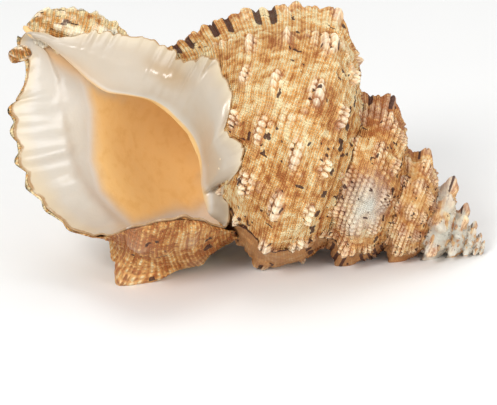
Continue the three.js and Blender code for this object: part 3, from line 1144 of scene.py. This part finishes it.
# ---- the mouth
@dataclass
class Mouth(Sheet):
    """The glazed lining: the lip's inner face, the shield, and the orange hollow behind them."""

    name: str = "mouth_lining"
    rows: int = 116
    columns: int = 372
    front_rows: int = 76
    deepest: float = -1.2 * TURN
    turn_in: float = -20 * DEG
    blade_height: float = 0.055
    lift: float = 0.038
    thickness: float = 0.0006
    outer_share: float = 0.56
    corner_rounds: int = 14
    flat: float = 1e-9
    fold_height: float = 0.011
    pad_height: float = 0.012
    # how much of the way to the hollow the shield takes, and its turn round the columella
    face_share: float = 0.72
    round_gap: float = 0.03
    round_most: float = 0.34
    # free edge along and sideways, then the mouth's edge along and sideways
    shield: tuple[tuple[float, float, float, float], ...] = (
        (1.778, 0.045, 1.765, 0.052), (1.709, 0.020, 1.700, 0.050),
        (1.640, 0.005, 1.630, 0.062), (1.564, -0.070, 1.560, 0.080),
        (1.495, -0.086, 1.500, 0.098), (1.430, -0.108, 1.430, 0.104),
        (1.364, -0.133, 1.360, 0.080), (1.290, -0.118, 1.290, 0.058),
        (1.224, -0.120, 1.230, 0.055), (1.175, -0.166, 1.180, 0.068),
        (1.120, -0.148, 1.125, 0.086), (1.045, -0.085, 1.075, 0.116),
        (1.000, 0.040, 1.035, 0.160), (0.925, 0.065, 1.010, 0.200),
        (0.905, 0.140, 0.990, 0.245), (0.920, 0.210, 0.960, 0.285),
        (0.850, 0.300, 0.915, 0.335),
    )
    # the columella's radius down the axis
    columella: tuple[tuple[float, float], ...] = (
        (0.915, 0.3), (0.97, 0.24), (1.03, 0.165), (1.1, 0.105), (1.18, 0.075),
        (1.28, 0.062), (1.42, 0.055), (1.56, 0.045), (1.7, 0.035), (1.83, 0.03),
    )
    # the line where the white glaze turns orange, along and sideways
    orange_line: tuple[tuple[float, float], ...] = (
        (1.56, 0.085), (1.455, 0.107), (1.355, 0.075), (1.27, 0.051), (1.186, 0.066),
        (1.116, 0.089), (1.054, 0.134), (1.016, 0.193), (0.996, 0.24), (0.96, 0.26),
        (0.935, 0.306), (1.05, 0.37), (1.10, 0.43), (1.15, 0.47), (1.22, 0.45),
        (1.30, 0.417), (1.376, 0.337), (1.42, 0.245), (1.45, 0.184), (1.51, 0.115),
    )

    def front_of_turn(self, along: Array, side: Array) -> Array:
        """How far the turn before stands towards the mouth's side.

        Args:
            along: Distance down the axis.
            side: Distance to the lip's side.

        Returns:
            The height over the axis.
        """
        angle = np.full_like(along, -0.75 * TURN)
        out = np.zeros_like(along)
        for _ in range(6):
            size = GROWTH.share(angle)
            out = size * SECTION.out_at(along / size)
            angle = np.arccos(np.clip(side / out, -1, 1)) - TURN
        return np.sqrt(np.maximum(0, out**2 - side**2))

    def shield_point(self, along: Array, side: Array, lift: Array | float) -> Array:
        """A point of the shield's face in the shell's own frame."""
        height = np.hypot(self.front_of_turn(along, side), self.blade_height) + lift
        return np.stack([side, -height, -along], axis=-1)

    def outer(self, place: Array, share: Array, deep: Array) -> Array:
        """The inner face of the outer wall.

        Args:
            place: Where on the section.
            share: 0 at the lip's edge and 1 where the hollow begins.
            deep: 0 where the hollow begins and 1 at its end.

        Returns:
            Points in the shell's own frame.
        """
        edge = LIP.edge.at(place) + LIP.scallop(place)
        angle = edge + (self.turn_in - edge) * share
        angle = np.where(deep > 0, self.turn_in + (self.deepest - self.turn_in) * deep, angle)
        fold = self.folds(place, share) * (deep <= 0)
        height = LIP.flared(place, angle) - LIP.depth(place, angle) - fold
        along, out = SECTION.raised(place, height)
        return GROWTH.grown(along, out, angle)

    def folds(self, place: Array, share: Array) -> Array:
        """Height of the folds that run in from the lip's edge.

        Args:
            place: Where on the section.
            share: 0 at the lip's edge and 1 where the hollow begins.

        Returns:
            Their height towards the mouth.
        """
        strength = ease(place, 0.26, 0.4) * ease(1 - share, 0.05, 0.75)
        uneven = 0.5 + SCULPTURE.noise.at(place * 40, share * 5, 4)
        pad = self.pad_height * bump(share - 0.5, 0.16) * ease(place, 0.3, 0.5)
        return self.fold_height * LIP.fold(place) ** 1.3 * strength * uneven + pad

    def inner(self, station: Array, share: Array, deep: Array) -> Array:
        """The shield and the columella's side of the hollow.

        Args:
            station: Where along the shield's lines.
            share: 0 at the free edge and 1 where the hollow begins.
            deep: 0 where the hollow begins and 1 at its end.

        Returns:
            Points in the shell's own frame.
        """
        lines = catmull(np.array(self.shield), station)
        free_along, free_side, mouth_along, mouth_side = lines.T
        noise = SCULPTURE.noise
        ragged = 0.026 * (noise.at(station * 2.7, 0, 8) - 0.5)
        ragged = ragged + 0.016 * (noise.at(station * 7.1, 0, 18) - 0.5)
        free_side = free_side + ragged * ease(station, 1, 3)
        radius = np.interp(mouth_along, *np.array(self.columella).T)
        uneven = 0.012 * (noise.at(station * 1.6, 4, 2) - 0.5)
        middle_along = (free_along + mouth_along) / 2
        middle_side = free_side * 0.5 + mouth_side * 0.5
        close = np.arcsin(np.minimum(self.round_gap / radius, self.round_most))
        knots = np.stack(
            [
                self.shield_point(free_along, free_side, self.lift * 0.2 + uneven),
                self.shield_point(middle_along, middle_side, self.lift),
                self.shield_point(mouth_along, mouth_side, self.lift * 0.4),
                GROWTH.grown(mouth_along, radius, close),
                GROWTH.grown(mouth_along, radius, np.full_like(radius, self.turn_in)),
            ],
            axis=1,
        )
        front = self.face_share
        at = np.where(share < front, share / front * 2, 2 + (share - front) / (1 - front) * 2)
        face = catmull(knots, at)
        angle = self.turn_in + (self.deepest - self.turn_in) * deep
        hollow = GROWTH.grown(mouth_along, radius, angle)
        return np.where((deep > 0)[:, None], hollow, face)

    def moved(self, row: Array, column: Array) -> tuple[Array, Layers]:
        """Puts the grid on the lining.

        Args:
            row: Row of each vertex, from the free edge inwards.
            column: Column of each vertex, round the mouth.

        Returns:
            The points and the layers.
        """
        around = (column / self.columns) % 1.0
        share = np.clip(row / self.front_rows, 0, 1)
        deep = np.clip((row - self.front_rows) / (self.rows - self.front_rows), 0, 1) ** 1.3
        on_lip = around < self.outer_share
        place = 0.02 + 0.98 * np.clip(around / self.outer_share, 0, 1)
        back = np.clip((around - self.outer_share) / (1 - self.outer_share), 0, 1)
        station = back * (len(self.shield) - 1)
        points = np.where(
            on_lip[:, None], self.outer(place, share, deep), self.inner(station, share, deep)
        )
        points = self.joined(points, around, row)
        return GROWTH.lying(points), self.layers(points, around, share, deep, station)

    def joined(self, points: Array, around: Array, row: Array) -> Array:
        """Rounds the two corners where the lip meets the shield.

        Args:
            points: The lining's points.
            around: How far round the mouth each is.
            row: The row of each.

        Returns:
            The points, smoothed near the corners.
        """
        order = np.lexsort((around, row))
        rows = len(np.unique(row))
        line = around[order].reshape(rows, -1)
        grid = points[order].reshape(rows, -1, 3)
        smooth = grid.copy()
        for _ in range(self.corner_rounds):
            smooth = (np.roll(smooth, 1, 1) + 2 * smooth + np.roll(smooth, -1, 1)) / 4
        gap = np.minimum(line, 1 - line)
        near = np.maximum(bump(gap, 0.012), bump(line - self.outer_share, 0.01))
        out = points.copy()
        out[order] = (grid + (smooth - grid) * near[..., None]).reshape(-1, 3)
        return out

    def layers(
        self, points: Array, around: Array, share: Array, deep: Array, station: Array
    ) -> Layers:
        """The layers that the finish reads.

        Args:
            points: The points in the shell's own frame.
            around: How far round the mouth each is.
            share: 0 at the free edge and 1 where the hollow begins.
            deep: 0 where the hollow begins and 1 at its end.
            station: Where along the shield's lines.

        Returns:
            The layers by name.
        """
        on_lip = around < self.outer_share
        along, side = -points[:, 2], points[:, 0]
        signed = self.inside_line(along, side)
        soft = ease(signed, -0.028, 0.035)
        low = 0.715 - 0.12 * (1 - ease(station, 4, 8))
        by_line = np.where(on_lip, 1.0, ease(station, 11.5, 14))
        orange = soft * by_line + ease(share, low, 0.745) * (1 - by_line)
        orange = np.maximum(orange, ease(deep, 0.02, 0.14))
        edge = ease(1 - share, 0.7, 1.0)
        # painted shade: the mask for the channel of the canal, stronger deeper in from the free
        # edge
        canal = bump(along - 1.62, 0.16) * bump(side - 0.075, 0.03) * ease(share, 0.3, 0.9)
        grey = bump(along - 1.27, 0.14) * bump(side + 0.05, 0.07)
        grey = np.maximum(grey, 0.5 * ease(share, 0.0, 0.2)) * (~on_lip)
        grey = grey * (1 - ease(share, 0.6, 0.72))
        return {
            "inside": orange * (1 - 0.8 * np.clip(canal, 0, 1)),
            "edge": edge,
            "grey": np.clip(grey, 0, 1),
            "groove_shade": np.clip(canal, 0, 1),
        }

    def inside_line(self, along: Array, side: Array) -> Array:
        """Distance inside the line where the glaze turns orange, negative outside.

        Args:
            along: Distance down the axis.
            side: Distance to the lip's side.

        Returns:
            The signed distance, in shares.
        """
        corners = np.array(self.orange_line)
        nearest = np.full_like(along, 9.0)
        within = np.zeros(len(along), bool)
        for (a0, s0), (a1, s1) in zip(corners, np.roll(corners, -1, axis=0)):
            run = np.array([a1 - a0, s1 - s0])
            t = ((along - a0) * run[0] + (side - s0) * run[1]) / (run @ run)
            t = np.clip(t, 0, 1)
            gap = np.hypot(along - a0 - t * run[0], side - s0 - t * run[1])
            nearest = np.minimum(nearest, gap)
            crosses = (s0 > side) != (s1 > side)
            rise = run[1] if abs(run[1]) > self.flat else self.flat
            level = a0 + (side - s0) * run[0] / rise
            within ^= crosses & (along < level)
        return np.where(within, nearest, -nearest)

    def made(self, material: bpy.types.Material) -> bpy.types.Object:
        """Builds the lining.

        Args:
            material: Its finish.

        Returns:
            The piece.
        """
        bm = self.bent()
        bmesh.ops.recalc_face_normals(bm, faces=bm.faces)
        front = GROWTH.turned() @ Vector((0, -1, 0))
        if sum(f.calc_area() * f.normal.dot(front) for f in bm.faces) < 0:
            bmesh.ops.reverse_faces(bm, faces=bm.faces)
        made = piece(self.name, bm, material)
        thick = made.modifiers.new("thickness", "SOLIDIFY")
        thick.thickness = self.thickness
        thick.offset = -1
        return made


# ---- the back of the canal
@dataclass
class CanalBack(Sheet):
    """The swollen, knobbly back of the old canals round the end of the axis."""

    name: str = "canal_back"
    rows: int = 150
    columns: int = 170
    stain: float = 0.0
    cords: float = 26
    fine_cords: int = 3
    beads: int = 16
    thinnest: float = 0.001
    # along the axis, sideways, height over the axis, radius
    spine: tuple[tuple[float, float, float, float], ...] = (
        (1.30, 0.0, 0.01, 0.004), (1.34, 0.0, 0.01, 0.035), (1.42, -0.02, 0.02, 0.064),
        (1.52, -0.035, 0.03, 0.082), (1.62, -0.03, 0.035, 0.08), (1.71, -0.01, 0.03, 0.066),
        (1.765, 0.01, 0.02, 0.042), (1.785, 0.02, 0.01, 0.004),
    )

    def moved(self, row: Array, column: Array) -> tuple[Array, Layers]:
        """Puts the grid on the spindle.

        Args:
            row: Row of each vertex, along the axis.
            column: Column of each vertex, round it.

        Returns:
            The points and the layers.
        """
        share = row / self.rows
        spine = catmull(np.array(self.spine), share * (len(self.spine) - 1))
        along, side, rise, radius = spine.T
        turn = TURN * (column % self.columns) / self.columns
        noise = SCULPTURE.noise
        x, y = np.cos(turn), np.sin(turn)
        lumps = noise.at(along * 38 + x * 1.5, x * 3.2 + 9, y * 3.2 + 9)
        cord = along * self.cords + turn / TURN * 3
        ridge, fine = wave(cord), wave(cord * self.fine_cords)
        beads = np.sqrt(ridge * wave(turn / TURN * self.beads + 0.5 * np.round(cord)))
        relief = 0.03 * (lumps - 0.5) + 0.012 * beads * lumps + 0.002 * fine
        radius = np.maximum(radius + relief * ease(radius, 0.01, 0.05), self.thinnest)
        points = np.stack([side + radius * x, rise + radius * y, -along], axis=-1)
        worn = ease(noise.at(along * 12, x * 2 + 4, y * 2), 0.45, 0.75)
        layers = {
            "ridge": np.clip(ridge * 0.6 + lumps * 0.6, 0, 1),
            "knob": ease(lumps, 0.55, 0.8),
            "dash": ease(noise.at(along * 30, x * 6, y * 6), 0.66, 0.8) * 0.6,
            "face": np.zeros_like(turn),
            "worn": worn * (0.8 - self.stain),
            "warm": noise.at(along * 9, x * 2, y * 2 + 7) + self.stain,
            "cord": cord * self.fine_cords,
            "line": turn / TURN * 60,
            "size": np.ones_like(turn),
        }
        return GROWTH.lying(points), layers


CANAL_KNOB = CanalBack(
    name="canal_knob",
    rows=60,
    columns=80,
    stain=0.8,
    spine=(
        (1.722, 0.108, 0.0, 0.004), (1.736, 0.116, 0.0, 0.022), (1.762, 0.126, 0.0, 0.03),
        (1.786, 0.132, 0.0, 0.02), (1.796, 0.134, 0.0, 0.004),
    ),
)


# ---- the studio
@dataclass
class Studio:
    """The floor, the lights and the camera."""

    lens: float = 300.0
    sensor: float = 36.0
    view_width: float = 0.1731
    clip: tuple[float, float] = (0.05, 20.0)
    floor_cells: int = 8
    floor_half: float = 3.0
    back: tuple[float, float, float] = (0.0, -0.93137, 0.36406)
    right: tuple[float, float, float] = (0.99692, -0.02856, -0.07306)
    left_of_apex: float = 0.0843
    over_apex: float = 0.0179
    aim: tuple[float, float, float] = (0, 0, 0.04)
    sky: float = 0.55
    # name, place, side in metres, power in watts
    lights: tuple[tuple[str, tuple[float, float, float], float, float], ...] = (
        ("key", (-0.45, -0.75, 0.75), 0.35, 6.2),
        ("fill", (0.75, -0.8, 0.35), 0.5, 4.2),
        ("top", (0.1, 0.25, 0.9), 0.6, 2.5),
    )

    def floor(self) -> None:
        """Lays the floor."""
        bm = bmesh.new()
        cells = self.floor_cells
        bmesh.ops.create_grid(bm, x_segments=cells, y_segments=cells, size=self.floor_half)
        mesh = bpy.data.meshes.new("floor")
        bm.to_mesh(mesh)
        bm.free()
        mesh.materials.append(GroundFinish().made())
        made = bpy.data.objects.new("floor", mesh)
        bpy.context.scene.collection.objects.link(made)

    def camera(self) -> None:
        """Sets up the camera."""
        back, right = Vector(self.back).normalized(), Vector(self.right).normalized()
        up = back.cross(right)
        centre = GROWTH.apex() - right * self.left_of_apex + up * self.over_apex
        data = bpy.data.cameras.new("camera")
        data.lens = self.lens
        data.sensor_width = self.sensor
        data.clip_start, data.clip_end = self.clip
        made = bpy.data.objects.new("camera", data)
        turn = Matrix((right, up, back)).transposed()
        distance = self.view_width / self.sensor * self.lens
        made.matrix_world = Matrix.Translation(centre + back * distance) @ turn.to_4x4()
        bpy.context.scene.collection.objects.link(made)
        bpy.context.scene.camera = made

    def light(self, name: str, at: Sequence[float], size: float, power: float) -> None:
        """Hangs one softbox aimed at the shell.

        Args:
            name: The light's name.
            at: Where it hangs.
            size: Its side.
            power: Its power in watts.
        """
        data = bpy.data.lights.new(name, "AREA")
        data.shape = "SQUARE"
        data.size = size
        data.energy = power
        made = bpy.data.objects.new(name, data)
        made.location = at
        aim = Vector(self.aim) - Vector(at)
        made.rotation_euler = aim.to_track_quat("-Z", "Y").to_euler()
        bpy.context.scene.collection.objects.link(made)

    def made(self) -> None:
        """Sets up the whole studio."""
        self.floor()
        self.camera()
        for name, at, size, power in self.lights:
            self.light(name, at, size, power)
        world = bpy.data.worlds.new("studio")
        world.use_nodes = True
        sky = world.node_tree.nodes["Background"]
        sky.inputs["Color"].default_value = (1, 1, 1, 1)
        sky.inputs["Strength"].default_value = self.sky
        bpy.context.scene.world = world
        bpy.context.scene.view_settings.view_transform = "Standard"


class Stretch(Enum):
    """The stretches of the outer wall, from the lip back to the tip."""

    LIP = LipStretch("lip_turn", 360, 252, -152 * DEG, 14 * DEG, wall=0.003)
    BODY = WallStretch("body_turn", 360, 252, -332 * DEG, -152 * DEG)
    NEXT = WallStretch("penultimate_turn", 480, 150, -692 * DEG, -332 * DEG, until=0.62)
    SPIRE = WallStretch("spire_turns", 620, 102, -1412 * DEG, -692 * DEG, until=0.62)
    TIP = WallStretch("tip_turns", 720, 54, -2880 * DEG, -1412 * DEG, until=0.62)


def main() -> None:
    """Builds the shell and its studio."""
    logging.basicConfig(level=logging.INFO, format="%(message)s")
    outside = OuterFinish().made()
    pieces = [stretch.value.made(outside) for stretch in Stretch]
    pieces.append(Mouth().made(MouthFinish().made()))
    pieces += [canal.made(outside) for canal in (CanalBack(), CANAL_KNOB)]
    for made in pieces:
        LOG.info("%s: %d faces", made.name, len(made.data.polygons))
    Studio().made()
    bpy.context.view_layer.update()


if __name__ == "__main__":
    main()
